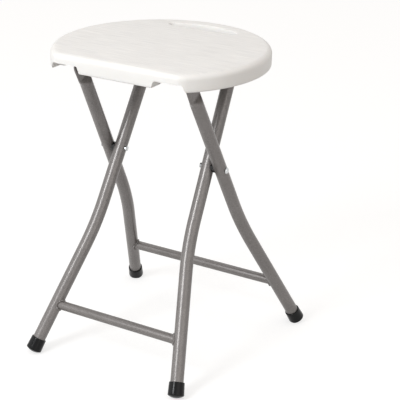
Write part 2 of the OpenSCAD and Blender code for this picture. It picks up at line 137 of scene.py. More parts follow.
# %% [markdown]
# ## Helpers for nodes
# Every node tree below is written with one function that adds a node, sets its options and
# either links an input or gives it a value. Colours are written as sRGB hex values.

# %% Node helpers
def linear(code):
    parts = [int(code[i:i + 2], 16) / 255 for i in (1, 3, 5)]
    return [c / 12.92 if c <= 0.04045 else ((c + 0.055) / 1.055) ** 2.4 for c in parts] + [1.0]


def add(tree, kind, inputs=None, **options):
    made = tree.nodes.new(kind)
    for name, value in options.items():
        setattr(made, name, value)
    for name, value in (inputs or {}).items():
        if isinstance(value, bpy.types.NodeSocket):
            tree.links.new(value, made.inputs[name])
        else:
            made.inputs[name].default_value = value
    return made


def new_material(name):
    """An empty material, its tree, its shader and a vector in millimetres that rides with the piece."""
    material = bpy.data.materials.new(name)
    material.use_nodes = True
    tree = material.node_tree
    shader = tree.nodes["Principled BSDF"]
    place = add(tree, "ShaderNodeTexCoord").outputs["Object"]
    place = add(tree, "ShaderNodeVectorMath", {0: place, 3: 1 / MM}, operation="SCALE")
    return material, tree, shader, place.outputs[0]


print("a middle grey in linear light:", [round(c, 3) for c in linear("#808080")])

# %% [markdown]
# ## Powder-coated steel
# The tubes carry a grey metallic powder coat. Real flakes are far too fine to show, so they are
# drawn about half a millimetre wide. They vary the brightness from point to point, and an
# orange-peel bump about a millimetre wide breaks up the highlights. A slow change over some
# three centimetres keeps a long tube from looking printed.

# %% Powder-coated steel
paint, tree, shader, place = new_material("powder-coated steel")
flakes = add(tree, "ShaderNodeTexVoronoi", {"Vector": place, "Scale": 2.2})
grain = add(tree, "ShaderNodeTexNoise", {"Vector": place, "Scale": 0.9, "Detail": 3.0})
shift = add(tree, "ShaderNodeTexNoise", {"Vector": place, "Scale": 0.03, "Detail": 2.0})
level = add(tree, "ShaderNodeSeparateColor", {0: flakes.outputs["Color"]})
tone = add(tree, "ShaderNodeMix", {
    0: level.outputs[0], 6: linear("#686463"), 7: linear("#8d8987")}, data_type="RGBA")
worn = add(tree, "ShaderNodeMapRange", {0: shift.outputs[0], 1: 0.3, 2: 0.7, 3: 0.94, 4: 1.06})
tone = add(tree, "ShaderNodeVectorMath", {0: tone.outputs[2], 3: worn.outputs[0]}, operation="SCALE")
rough = add(tree, "ShaderNodeMapRange", {0: grain.outputs[0], 3: 0.27, 4: 0.36})
bump = add(tree, "ShaderNodeBump", {"Height": grain.outputs[0], "Strength": 0.12, "Distance": 0.0002})
tree.links.new(tone.outputs[0], shader.inputs["Base Color"])
tree.links.new(rough.outputs[0], shader.inputs["Roughness"])
tree.links.new(bump.outputs[0], shader.inputs["Normal"])
shader.inputs["Metallic"].default_value = 0.35
print("made", paint.name)

# %% [markdown]
# ## Moulded polyethylene
# The seat is off-white plastic. Its top carries faint streaks a millimetre or so wide and some
# centimetres long that run along the flat edge. Its sides have the pebbled skin that such
# moulds leave, with pebbles a little over a millimetre across.

# %% Moulded polyethylene
plastic, tree, shader, place = new_material("moulded HDPE")
apart = add(tree, "ShaderNodeSeparateXYZ", {0: place})
stretched = add(tree, "ShaderNodeVectorMath", {0: place, 1: (0.02, 0.75, 0.2)}, operation="MULTIPLY")
streaks = add(tree, "ShaderNodeTexNoise", {
    "Vector": stretched.outputs[0], "Scale": 1.0, "Detail": 4.0, "Roughness": 0.6})
pebbles = add(tree, "ShaderNodeTexVoronoi", {"Vector": place, "Scale": 0.75}, feature="SMOOTH_F1")
cloud = add(tree, "ShaderNodeTexNoise", {"Vector": place, "Scale": 0.02, "Detail": 2.0})
top_z = rim_z + SEAT["high"]
on_top = add(tree, "ShaderNodeMapRange", {0: apart.outputs[2], 1: top_z - 3.0, 2: top_z - 0.4})
streak = add(tree, "ShaderNodeMapRange", {0: streaks.outputs[0], 1: 0.35, 2: 0.65})
streak = add(tree, "ShaderNodeMath", {0: streak.outputs[0], 1: on_top.outputs[0]}, operation="MULTIPLY")
tone = add(tree, "ShaderNodeMix", {
    0: streak.outputs[0], 6: linear("#f4f3f1"), 7: linear("#e2e1e0")}, data_type="RGBA")
tint = add(tree, "ShaderNodeMapRange", {0: cloud.outputs[0], 1: 0.3, 2: 0.7, 3: 0.985, 4: 1.015})
tone = add(tree, "ShaderNodeVectorMath", {0: tone.outputs[2], 3: tint.outputs[0]}, operation="SCALE")
skin = add(tree, "ShaderNodeMix", {
    0: on_top.outputs[0], 2: pebbles.outputs[0], 3: streaks.outputs[0]}, data_type="FLOAT")
bump = add(tree, "ShaderNodeBump", {"Height": skin.outputs[0], "Strength": 0.5, "Distance": 0.0003})
tree.links.new(tone.outputs[0], shader.inputs["Base Color"])
tree.links.new(bump.outputs[0], shader.inputs["Normal"])
shader.inputs["Roughness"].default_value = 0.5
shader.inputs["Subsurface Weight"].default_value = 0.08
shader.inputs["Subsurface Radius"].default_value = (0.004, 0.0035, 0.003)
print("made", plastic.name)

# %% [markdown]
# ## Zinc, rubber and black polymer
# Three small materials follow. Zinc plate is bright, with faint clouds two millimetres wide
# that dull its mirror in places. The rubber of the feet is nearly black, with a soft sheen. The
# polymer of the washers between the tubes is black and glossy.

# %% Zinc, rubber and polymer
zinc, tree, shader, place = new_material("zinc-plated steel")
cloud = add(tree, "ShaderNodeTexNoise", {"Vector": place, "Scale": 0.6, "Detail": 3.0})
tone = add(tree, "ShaderNodeMix", {
    0: cloud.outputs[0], 6: linear("#a6a9ab"), 7: linear("#e6e8e9")}, data_type="RGBA")
rough = add(tree, "ShaderNodeMapRange", {0: cloud.outputs[0], 3: 0.08, 4: 0.2})
tree.links.new(tone.outputs[2], shader.inputs["Base Color"])
tree.links.new(rough.outputs[0], shader.inputs["Roughness"])
shader.inputs["Metallic"].default_value = 1.0

rubber, tree, shader, place = new_material("rubber")
cloud = add(tree, "ShaderNodeTexNoise", {"Vector": place, "Scale": 1.4, "Detail": 3.0})
tone = add(tree, "ShaderNodeMix", {
    0: cloud.outputs[0], 6: linear("#070708"), 7: linear("#111112")}, data_type="RGBA")
rough = add(tree, "ShaderNodeMapRange", {0: cloud.outputs[0], 3: 0.13, 4: 0.22})
bump = add(tree, "ShaderNodeBump", {"Height": cloud.outputs[0], "Strength": 0.1, "Distance": 0.0002})
tree.links.new(tone.outputs[2], shader.inputs["Base Color"])
tree.links.new(rough.outputs[0], shader.inputs["Roughness"])
tree.links.new(bump.outputs[0], shader.inputs["Normal"])
shader.inputs["Specular IOR Level"].default_value = 0.2

polymer, tree, shader, place = new_material("black polymer")
cloud = add(tree, "ShaderNodeTexNoise", {"Vector": place, "Scale": 0.8, "Detail": 2.0})
tone = add(tree, "ShaderNodeMix", {
    0: cloud.outputs[0], 6: linear("#0b0b0c"), 7: linear("#161618")}, data_type="RGBA")
rough = add(tree, "ShaderNodeMapRange", {0: cloud.outputs[0], 3: 0.1, 4: 0.2})
tree.links.new(tone.outputs[2], shader.inputs["Base Color"])
tree.links.new(rough.outputs[0], shader.inputs["Roughness"])
print("made", zinc.name, rubber.name, polymer.name)

# %% [markdown]
# ## Helpers for pieces
# A piece is finished at the origin, unturned and unscaled, with its place in its vertices.
# It rides on a CAD body, and it may stand for CAD nodes that are then not shown.

# %% Piece helpers
SLOTS = {"seat_plastic": plastic, "grey_paint": paint, "zinc": zinc, "black_rubber": rubber,
         "black_plastic": polymer}


def smooth(mesh, angle):
    for face in mesh.polygons:
        face.use_smooth = True
    mesh.set_sharp_from_angle(angle=math.radians(angle))


def finish_piece(mesh, name, body, slot, *nodes):
    mesh.name = name
    mesh.materials.clear()
    mesh.materials.append(SLOTS[slot])
    piece = bpy.data.objects.new(name, mesh)
    scene.collection.objects.link(piece)
    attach(piece, body)
    if nodes:
        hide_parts(*nodes)


def mesh_from(bm, angle=35.0):
    bmesh.ops.recalc_face_normals(bm, faces=bm.faces)
    mesh = bpy.data.meshes.new("mesh")
    bm.to_mesh(mesh)
    bm.free()
    smooth(mesh, angle)
    return mesh


def mirrored(mesh):
    copy = mesh.copy()
    copy.transform(Matrix.Diagonal((-1, 1, 1, 1)))
    copy.flip_normals()
    return copy


def both_sides(mesh, stem, body, slot):
    """The right piece as given and its mirror image on the left, each for its CAD node."""
    for side, half in (("right", mesh), ("left", mirrored(mesh))):
        node = stem + "_" + side
        finish_piece(half, node + "_look", body, slot, node)


print("slots:", sorted(SLOTS))

# %% [markdown]
# ## Helpers for shapes
# Round things are turned from a profile. A leg frame's own axes start at its pivot: X points to
# the right, and Z points back up along the leg.

# %% Shape helpers
def lathe(profile, sides=48):
    """A mesh turned from (radius, height) points round the Z axis, in millimetres."""
    bm = bmesh.new()
    rings = []
    turns = [2 * math.pi * i / sides for i in range(sides)]
    for r, h in profile:
        if r < 1e-6:
            rings.append([bm.verts.new((0, 0, h))] * sides)
        else:
            rings.append([bm.verts.new((r * math.cos(t), r * math.sin(t), h)) for t in turns])
    for low, high in zip(rings, rings[1:]):
        for i in range(sides):
            corners = [low[i], low[(i + 1) % sides], high[(i + 1) % sides], high[i]]
            corners = [v for k, v in enumerate(corners) if v not in corners[:k]]
            if len(corners) > 2:
                bm.faces.new(corners)
    return bm


def place_on(bm, at, axis):
    """Turns the Z axis to axis, moves to the point and changes millimetres into metres."""
    turn = Vector((0, 0, 1)).rotation_difference(Vector(axis)).to_matrix().to_4x4()
    bm.transform(Matrix.Scale(MM, 4) @ Matrix.Translation(at) @ turn)
    return bm


def leg_frame(which):
    """The matrix from a leg frame's own axes, in millimetres, to the stool in metres."""
    pivot, angle = (front_pivot, tilt) if which == "outer" else (rear_pivot, -tilt)
    return Matrix.Scale(MM, 4) @ Matrix.Translation(pivot) @ Matrix.Rotation(angle, 4, "X")


for which in LEGS:
    print(which, "frame's origin in metres:", [round(c, 4) for c in leg_frame(which).translation])

# %% [markdown]
# ## The line of a leg
# Seen from the front a leg runs straight down from its pivot, slopes gently outwards, bends
# on a wide radius and ends in a steeper straight stretch inside its foot. Each point of the
# line also says how thick and how wide the tube is there, and how square its section has
# become, because the top of the tube is pressed flat where its bolt goes through.

# %% Leg line
def leg_x(which, depth):
    size = LEGS[which]
    start = size["half"] + (size["bend_at"] - FLAT["neck"]) * math.tan(TOP_SPLAY)
    bend_end = size["bend_at"] + BEND_R * (math.sin(size["splay"]) - math.sin(TOP_SPLAY))
    if depth <= FLAT["neck"]:
        return size["half"]
    if depth <= size["bend_at"]:
        return size["half"] + (depth - FLAT["neck"]) * math.tan(TOP_SPLAY)
    along = math.asin((min(depth, bend_end) - size["bend_at"]) / BEND_R + math.sin(TOP_SPLAY))
    x = start + BEND_R * (math.cos(TOP_SPLAY) - math.cos(along))
    return x + max(depth - bend_end, 0) * math.tan(size["splay"])


def leg_depths(which):
    """Depths of the rings: close over the round tip and the neck, wider apart below."""
    tip, half_w = FLAT["tip"], FLAT["wide"] / 2
    neck_end = 38.0
    end = foot_depth + (FOOT["dome"] - FOOT["sole"] - 0.5) * math.cos(LEGS[which]["splay"])
    depths = [-tip + half_w * (1 - math.cos(math.pi / 2 * (k + 0.4) / 12.4)) for k in range(12)]
    depths += [-tip + half_w + 1.5 * k for k in range(1, 26)]
    return depths + [neck_end + (end - neck_end) * k / 88 for k in range(1, 89)]


def leg_line(which):
    tip, half_w = FLAT["tip"], FLAT["wide"] / 2
    depths = leg_depths(which)
    line = bpy.data.meshes.new("line")
    spots = [(leg_x(which, d), 0, -d) for d in depths]
    line.from_pydata(spots, [(k, k + 1) for k in range(len(depths) - 1)], [])
    columns = {"thick": [], "wide": [], "square": []}
    for d in depths:
        t = min(max((FLAT["neck"] - d) / (FLAT["neck"] - FLAT["end"]), 0), 1)
        press = t * t * (3 - 2 * t)
        up_tip = min(max(-d - (tip - half_w), 0) / half_w, 0.9999)
        columns["thick"].append(TUBE_R + (FLAT["thick"] / 2 - TUBE_R) * press)
        columns["wide"].append((TUBE_R + (half_w - TUBE_R) * press) * math.sqrt(1 - up_tip ** 2))
        columns["square"].append(1 - 0.62 * press)
    for name, values in columns.items():
        line.attributes.new(name, "FLOAT", "POINT").data.foreach_set("value", values)
    return line


print("feet at x = %.1f and %.1f mm" % (leg_x("outer", foot_depth), leg_x("inner", foot_depth)))

# %% [markdown]
# ## Helpers for geometry trees
# Each tree takes a mesh and some named values. It ends by making its copies real and giving
# them their material.

# %% Tree helpers
def new_tree(name, sockets):
    tree = bpy.data.node_groups.new(name, "GeometryNodeTree")
    tree.interface.new_socket("Geometry", in_out="INPUT", socket_type="NodeSocketGeometry")
    tree.interface.new_socket("Geometry", in_out="OUTPUT", socket_type="NodeSocketGeometry")
    for title, kind in sockets.items():
        tree.interface.new_socket(title, in_out="INPUT", socket_type="NodeSocket" + kind)
    return tree, tree.nodes.new("NodeGroupInput").outputs


def end_tree(tree, geometry, material):
    whole = add(tree, "GeometryNodeRealizeInstances", {0: geometry})
    coated = add(tree, "GeometryNodeSetMaterial", {0: whole.outputs[0], "Material": material})
    add(tree, "NodeGroupOutput", {0: coated.outputs[0]})
    print(tree.name, "has", len(tree.nodes), "nodes")


print("tree helpers ready")

# %% [markdown]
# ## Node tree: a tube with a pressed end
# The tree sweeps a circle along the line. Above the neck it moves each point of a ring to a
# rounded rectangle: the point's place on the unit circle is raised to the power that the line
# carries, and scaled to the thickness and width there. Two bolt holes are then cut through.

# %% Node tree: pressed tube
tube, given = new_tree("pressed tube", {
    "Tube Radius": "Float", "Half Spacing": "Float", "Neck Depth": "Float", "Hole Radius": "Float",
    "Crossing Depth": "Float", "Sides": "Int", "Material": "Material"})
line = add(tube, "GeometryNodeMeshToCurve", {0: given["Geometry"]})
ring = add(tube, "GeometryNodeCurvePrimitiveCircle", {
    "Resolution": given["Sides"], "Radius": given["Tube Radius"]})
swept = add(tube, "GeometryNodeCurveToMesh", {0: line.outputs[0], 1: ring.outputs[0], "Fill Caps": True})
spot = add(tube, "GeometryNodeInputPosition").outputs[0]
apart = add(tube, "ShaderNodeSeparateXYZ", {0: spot})
middle = add(tube, "ShaderNodeCombineXYZ", {0: given["Half Spacing"], 2: apart.outputs[2]})
reach = add(tube, "ShaderNodeVectorMath", {0: spot, 1: middle.outputs[0]}, operation="SUBTRACT")
shrink = add(tube, "ShaderNodeMath", {0: 1.0, 1: given["Tube Radius"]}, operation="DIVIDE")
unit = add(tube, "ShaderNodeVectorMath", {0: reach.outputs[0], 3: shrink.outputs[0]}, operation="SCALE")
read = {name: add(tube, "GeometryNodeInputNamedAttribute", {0: name}, data_type="FLOAT").outputs[0]
        for name in ("thick", "wide", "square")}
size = add(tube, "ShaderNodeVectorMath", {0: unit.outputs[0]}, operation="ABSOLUTE")
size = add(tube, "ShaderNodeVectorMath", {0: size.outputs[0], 1: read["square"]}, operation="POWER")
sign = add(tube, "ShaderNodeVectorMath", {0: unit.outputs[0]}, operation="SIGN")
size = add(tube, "ShaderNodeVectorMath", {0: size.outputs[0], 1: sign.outputs[0]}, operation="MULTIPLY")
box = add(tube, "ShaderNodeCombineXYZ", {0: read["thick"], 1: read["wide"]})
pressed = add(tube, "ShaderNodeVectorMath", {
    0: size.outputs[0], 1: box.outputs[0], 2: middle.outputs[0]}, operation="MULTIPLY_ADD")
neck_z = add(tube, "ShaderNodeMath", {0: given["Neck Depth"], 1: -1.0}, operation="MULTIPLY")
above = add(tube, "FunctionNodeCompare", {
    0: apart.outputs[2], 1: neck_z.outputs[0]}, data_type="FLOAT", operation="GREATER_THAN")
shaped = add(tube, "GeometryNodeSetPosition", {
    0: swept.outputs[0], 1: above.outputs[0], 2: pressed.outputs[0]})
drill = add(tube, "GeometryNodeMeshCylinder", {
    "Vertices": 40, "Radius": given["Hole Radius"], "Depth": 60.0})
low_z = add(tube, "ShaderNodeMath", {0: given["Crossing Depth"], 1: -1.0}, operation="MULTIPLY")
for height in (0.0, low_z.outputs[0]):
    at = add(tube, "ShaderNodeCombineXYZ", {0: given["Half Spacing"], 2: height})
    bit = add(tube, "GeometryNodeTransform", {
        0: drill.outputs[0], 1: at.outputs[0], 2: (0, math.pi / 2, 0)})
    shaped = add(tube, "GeometryNodeMeshBoolean", {
        0: shaped.outputs[0], 1: bit.outputs[0]}, operation="DIFFERENCE", solver="EXACT")
end_tree(tube, shaped.outputs[0], given["Material"])

# %% [markdown]
# ## Growing a tree into a plain mesh
# A modifier's inputs are found by their names and set by their identifiers before the object
# is first evaluated. The result is copied to a plain mesh, and the helper object goes away.

# %% Grow
def grow(tree, mesh, values):
    seed = bpy.data.objects.new("seed", mesh)
    scene.collection.objects.link(seed)
    modifier = seed.modifiers.new("tree", "NODES")
    modifier.node_group = tree
    for item in tree.interface.items_tree:
        if item.in_out == "INPUT" and item.name in values:
            modifier[item.identifier] = values[item.name]
    made = bpy.data.meshes.new_from_object(seed.evaluated_get(bpy.context.evaluated_depsgraph_get()))
    bpy.data.objects.remove(seed)
    return made


print("grow is ready")

# %% [markdown]
# ## The four legs
# Each frame's leg is grown once, moved to its place and mirrored. The bolt holes are two tenths
# of a millimetre wider than the bolts.

# %% The four legs
for which in LEGS:
    leg = grow(tube, leg_line(which), {
        "Tube Radius": TUBE_R, "Half Spacing": LEGS[which]["half"], "Neck Depth": FLAT["neck"],
        "Hole Radius": BOLT_R + 0.1, "Crossing Depth": LEG_UPPER, "Sides": 72, "Material": paint})
    leg.transform(leg_frame(which))
    smooth(leg, 40)
    both_sides(leg, which + "_leg", which + "_frame", "grey_paint")
    print(which, "leg:", len(leg.polygons), "faces")

# %% [markdown]
# ## Cross tubes and their welds
# A thinner tube joins the two legs of each frame near the floor. The weld that holds it is a
# row of overlapping drops laid round the joint, so a tree sets drops along a saddle curve.

# %% Node tree: weld bead
weld, given = new_tree("weld bead", {
    "Pitch": "Float", "Drop Radius": "Float", "Seed": "Int", "Material": "Material"})
line = add(weld, "GeometryNodeMeshToCurve", {0: given["Geometry"]})
points = add(weld, "GeometryNodeCurveToPoints", {
    0: line.outputs[0], "Length": given["Pitch"]}, mode="LENGTH")
drop = add(weld, "GeometryNodeMeshUVSphere", {"Segments": 14, "Rings": 8, "Radius": given["Drop Radius"]})
uneven = add(weld, "FunctionNodeRandomValue", {
    0: (0.9, 0.9, 0.6), 1: (1.15, 1.15, 0.75), "Seed": given["Seed"]}, data_type="FLOAT_VECTOR")
row = add(weld, "GeometryNodeInstanceOnPoints", {
    0: points.outputs[0], 2: drop.outputs[0], 5: points.outputs[3], 6: uneven.outputs[0]})
end_tree(weld, row.outputs[0], given["Material"])

# %% [markdown]
# ## Cross tubes in place
# The saddle curve stands a little off both tubes, so that the drops show as a bead. The cross
# tube stops two millimetres short of the middle of each leg.

# %% Cross tubes
def saddle_line(which, side):
    """The closed line in which a tube a little wider than the cross tube meets the leg."""
    depth, splay = LEGS[which]["rung_at"], LEGS[which]["splay"]
    radius, steps = RUNG_R + 0.7, 48
    spots = []
    for k in range(steps):
        a = 2 * math.pi * k / steps
        y, up_z = radius * math.cos(a), radius * math.sin(a)
        x = leg_x(which, depth - up_z) - math.sqrt((TUBE_R + 0.3) ** 2 - y ** 2) / math.cos(splay)
        spots.append((side * x, y, up_z - depth))
    ring = bpy.data.meshes.new("saddle")
    ring.from_pydata(spots, [(k, (k + 1) % steps) for k in range(steps)], [])
    return ring


for which in LEGS:
    depth = LEGS[which]["rung_at"]
    long = leg_x(which, depth) - 2
    profile = [(0, -long), (RUNG_R, -long)] + [(RUNG_R, -long + 2 * long * k / 16) for k in range(1, 16)]
    rung = place_on(lathe(profile + [(RUNG_R, long), (0, long)]), (0, 0, 0), (1, 0, 0))
    rung.transform(leg_frame(which) @ Matrix.Translation((0, 0, -depth)) @ Matrix.Scale(1 / MM, 4))
    finish_piece(mesh_from(rung), which + "_rung_look", which + "_frame", "grey_paint", which + "_rung")
    for side, name in ((1, "right"), (-1, "left")):
        bead = grow(weld, saddle_line(which, side), {
            "Pitch": 1.5, "Drop Radius": 1.7, "Seed": 3 + side, "Material": paint})
        bead.transform(leg_frame(which))
        smooth(bead, 80)
        finish_piece(bead, which + "_weld_" + name, which + "_frame", "grey_paint")
print("cross tubes and welds made")

# %% [markdown]
# ## Rubber feet
# Each foot is a moulded cap with a slight taper, a rounded mouth and a domed sole. It is turned
# from one profile, set square on the end of its leg and cut level with the floor.

# %% Feet
def arc(cx, cy, r, start, end, steps):
    angles = [math.radians(start + (end - start) * k / steps) for k in range(steps + 1)]
    return [(cx + r * math.cos(a), cy + r * math.sin(a)) for a in angles]


def foot_profile():
    dome_r, low, mouth, long = FOOT["dome"], FOOT["low"], FOOT["mouth"], FOOT["long"]
    edge, lip = FOOT["edge"], FOOT["lip"]
    reach = math.degrees(math.asin((low - edge) / (dome_r - edge)))
    corner_h = dome_r - (dome_r - edge) * math.cos(math.radians(reach))
    bore = TUBE_R + 0.05
    points = [(0, 0)] + arc(0, dome_r, dome_r, -90, -90 + reach, 14)[1:]
    points += arc(low - edge, corner_h, edge, -90 + reach, 0, 6)[1:]
    taper, rise = mouth - low, long - 1.2 - corner_h
    points += [(low + taper * k / 6, corner_h + rise * k / 6) for k in range(1, 6)]
    points += arc(mouth - lip, long - lip, lip, 0, 90, 6)
    points += arc(bore + 0.4, long - 0.4, 0.4, 90, 180, 3)
    return points + [(bore, FOOT["sole"] + 6), (bore, FOOT["sole"]), (0, FOOT["sole"])]


for which in LEGS:
    splay = LEGS[which]["splay"]
    cap = lathe(foot_profile(), 64)
    cap.transform(leg_frame(which) @ Matrix.Translation((leg_x(which, foot_depth), 0, -foot_depth))
                  @ Matrix.Rotation(-splay, 4, "Y") @ Matrix.Translation((0, 0, -FOOT["dome"])))
    cut = bmesh.ops.bisect_plane(cap, geom=cap.verts[:] + cap.edges[:] + cap.faces[:], dist=1e-7,
                                 plane_co=(0, 0, 0), plane_no=(0, 0, -1), clear_outer=True)
    bmesh.ops.edgeloop_fill(cap, edges=[e for e in cut["geom_cut"] if isinstance(e, bmesh.types.BMEdge)])
    both_sides(mesh_from(cap, angle=30), which + "_foot", which + "_frame", "black_rubber")
print("feet made")

# %% [markdown]
# ## Bolts, rivets and domed nuts
# All heads are shallow domes with a small rolled rim. The shanks are plain, because no thread
# shows. A bolt is turned along its axis from its tail to the top of its head.

# %% Bolts
def dome(base, size=HEAD, direction=1):
    """Profile of a domed head that stands on the height base, from its rim to its top."""
    r, high = size
    ball = (r ** 2 + high ** 2) / (2 * high)
    side = math.degrees(math.asin((r - 0.35) / ball))
    points = [(r - 0.25, 0), (r, 0.25), (r, 0.45)]
    points += [(x, h - (ball - high)) for x, h in arc(0, 0, ball, 90 - side, 90, 12)]
    return [(max(x, 0), base + direction * h) for x, h in points]


outer_x = LEGS["outer"]["half"] + (LEG_UPPER - FLAT["neck"]) * math.tan(TOP_SPLAY)
inner_x = outer_x - 2 * TUBE_R - SIDE_GAP
slope = HEAD[0] * math.tan(TOP_SPLAY) + 0.03
head_x = outer_x + TUBE_R + slope
nut_x = inner_x - TUBE_R - 0.3 - slope
bracket_in, bracket_out = (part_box("bracket_right")[k].x / MM for k in (0, 1))
leg_end = LEGS["inner"]["half"] + FLAT["thick"] / 2
leg_face = leg_end - FLAT["thick"]
outer_end = LEGS["outer"]["half"] + FLAT["thick"] / 2 + 0.3
shank_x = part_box("front_bolt_right")[0].x / MM
nut_low = nut_x - 1.2
hole = BOLT_R + 0.05
BOLTS = {
    "crossing_bolt": (crossing, [(0, nut_low), (BOLT_R, nut_low), (BOLT_R, head_x)]
                      + dome(head_x)),
    "crossing_nut": (crossing, dome(nut_low, NUT, -1)[::-1]
                     + [(NUT[0], nut_x), (hole, nut_x), (hole, nut_low - 0.02), (0, nut_low - 0.02)]),
    "front_bolt": (front_pivot, [(0, shank_x), (BOLT_R - 0.5, shank_x), (BOLT_R, shank_x + 0.5)]
                   + [(BOLT_R, outer_end)] + dome(outer_end)),
    "rear_bolt": (rear_pivot, [(0, leg_face), (BOLT_R, leg_face), (BOLT_R, leg_end)]
                  + dome(leg_end)),
    "link_rivet": (rivet, dome(bracket_in, HEAD, -1)[::-1]
                   + [(BOLT_R, bracket_in), (BOLT_R, bracket_out)] + dome(bracket_out)),
}
node_body = {n: o["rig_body"] for n, o in frame["nodes"].items()}
for stem, (pivot, profile) in BOLTS.items():
    turned = place_on(lathe(profile, 40), (0, pivot.y, pivot.z), (1, 0, 0))
    both_sides(mesh_from(turned, angle=32), stem, node_body[stem + "_right"], "zinc")
print("turned", len(BOLTS), "pairs of bolts, rivets and nuts")

# %% [markdown]
# ## The seat's outline
# Seen from above the seat is round with one flat edge, and two smaller arcs join the flat edge
# to the round part. The recess underneath and the handle slot have outlines of the same kind,
# so one function gives them all. Every outline has the same number of points, which lets two
# of them be joined by quads.

# %% Outlines
slot_r = SEAT["r"] - SLOT["from_edge"]
PLANS = {
    "edge": (SEAT["r"], SEAT["front"], SEAT["corner"]),
    "recess": (SEAT["r"] - RIM["round_wide"], SEAT["front"] + RIM["front_wide"], SEAT["corner"]),
    "slot": (slot_r, slot_r - SEAT["shift"] - SLOT["wide"], SLOT["end_r"]),
}


def outline(plan, grow_by=0.0):
    """Points of an outline made larger by a distance, with the seat's middle at the origin."""
    r, front, corner = PLANS[plan]
    r, front, corner, mid_y = r + grow_by, front - grow_by, corner + grow_by, -SEAT["shift"]
    cy = front + corner
    cx = math.sqrt((r - corner) ** 2 - (cy - mid_y) ** 2)
    a = math.atan2(cy - mid_y, cx)
    spots = [(cx * (k / 12 - 1), front) for k in range(24)]
    for x, y, radius, start, end, steps in (
            (cx, cy, corner, -math.pi / 2, a, 14), (0, mid_y, r, a, math.pi - a, 140),
            (-cx, cy, corner, math.pi - a, math.pi * 1.5, 14)):
        turns = [start + (end - start) * k / steps for k in range(steps)]
        spots += [(x + radius * math.cos(t), y + radius * math.sin(t)) for t in turns]
    return spots


print("points in an outline:", len(outline("edge")))

# %% [markdown]
# ## The seat's shell
# The shell is a stack of rings: over the rounded upper edge, down the side, round the lower
# edge, across the rim and up into the recess. A second stack lines the handle slot. The flat
# top and the ceiling of the recess are filled between the two stacks. An extra ring on the
# flat keeps the shading of the rounded edge from running across it.

# %% Seat shell
def round_over(plan, base, r, start, end, steps, z):
    """Rings round an edge: arc points become growths of the outline and heights."""
    return [(plan, base + g, z + h) for g, h in arc(0, 0, r, start, end, steps)]


HIGH, PANEL = SEAT["high"], SEAT["panel"]
TOP_ROUND, LOW_ROUND, SLOT_ROUND = RIM["top_round"], RIM["low_round"], SLOT["top_round"]
outside = [("edge", -14.0, HIGH)]
outside += round_over("edge", -TOP_ROUND, TOP_ROUND, 90, 0, 9, HIGH - TOP_ROUND)
outside += [("edge", 0, z) for z in (13.0, 9.8, 6.6)]
outside += round_over("edge", -LOW_ROUND, LOW_ROUND, 0, -90, 5, LOW_ROUND)
outside += [("edge", -5.0, 0), ("recess", 1.2, 0), ("recess", 0.35, 0.35), ("recess", 0, 1.2)]
outside += [("recess", 0, PANEL - 2), ("recess", -0.6, PANEL - 0.6)]
outside += [("recess", -2, PANEL), ("recess", -4, PANEL)]
inside = [("slot", 6.0, HIGH)]
for k in range(6):
    a = math.pi / 2 * k / 5
    inside.append(("slot", SLOT_ROUND * (1 - math.sin(a)), HIGH - SLOT_ROUND * (1 - math.cos(a))))
inside += [("slot", 0, HIGH - 5), ("slot", 0, PANEL + 1.2), ("slot", 0.35, PANEL + 0.35),
           ("slot", 1.2, PANEL), ("slot", 3.0, PANEL)]


def stack(bm, rings):
    """Joins the rings by quads and returns the edges of the first and the last ring."""
    rows = [[bm.verts.new((x, y, z)) for x, y in outline(plan, g)] for plan, g, z in rings]
    n = len(rows[0])
    for low, high in zip(rows, rows[1:]):
        for i in range(n):
            bm.faces.new((low[i], low[(i + 1) % n], high[(i + 1) % n], high[i]))
    return [[bm.edges.get((row[i], row[(i + 1) % n])) for i in range(n)] for row in (rows[0], rows[-1])]


shell = bmesh.new()
top_out, low_out = stack(shell, outside)
top_in, low_in = stack(shell, inside)
for loops in (top_out + top_in, low_out + low_in):
    bmesh.ops.triangle_fill(shell, use_beauty=True, edges=loops)
print("seat shell faces:", len(shell.faces))

# %% [markdown]
# ## Leg notches and moulded grooves
# Folded, the legs lie in notches of the front rim. Grooves stiffen the panel underneath. Both
# are cut from the shell by one exact boolean with a mesh that holds all the cutting shapes.

# %% Cut the underside
def prism(bm, section, low, high, axis="z"):
    """A closed prism over a section, along Z or along Y."""
    place = (lambda u, v, w: (u, v, w)) if axis == "z" else (lambda u, v, w: (u, w, v))
    rows = [[bm.verts.new(place(u, v, w)) for u, v in section] for w in (low, high)]
    n = len(section)
    for i in range(n):
        bm.faces.new((rows[0][i], rows[0][(i + 1) % n], rows[1][(i + 1) % n], rows[1][i]))
    bm.faces.new(rows[0])
    bm.faces.new(rows[1])


cutters = bmesh.new()
inner, outer, slope = NOTCH["inner"], NOTCH["outer"], NOTCH["slope"]
bend, bend_z = NOTCH["round"], NOTCH["ceiling"] - NOTCH["round"]
notch = [(inner + slope, -2), (inner, -1)] + arc(inner + 6.4, bend_z, bend, 165, 90, 5)
notch += arc(outer - 6.4, bend_z, bend, 90, 15, 5) + [(outer, -1), (outer - slope, -2)]
for side in (1, -1):
    prism(cutters, [(side * x, z) for x, z in notch], SEAT["front"] - 2, SEAT["front"] + 26, "y")
half, groove_r = GROOVE["half"], GROOVE["r"]
for k in range(GROOVE["count"]):
    y = GROOVE["pitch"] * (k - (GROOVE["count"] - 1) / 2) - SEAT["shift"]
    groove = arc(half, y, groove_r, -90, 90, 10) + arc(-half, y, groove_r, 90, 270, 10)
    prism(cutters, groove, PANEL - 1, PANEL + 5)
solid = bpy.data.objects.new("seat_solid", mesh_from(shell))
tool = bpy.data.objects.new("seat_cutters", mesh_from(cutters))
for helper in (solid, tool):
    scene.collection.objects.link(helper)
cut = solid.modifiers.new("cut", "BOOLEAN")
cut.object, cut.operation, cut.solver = tool, "DIFFERENCE", "EXACT"
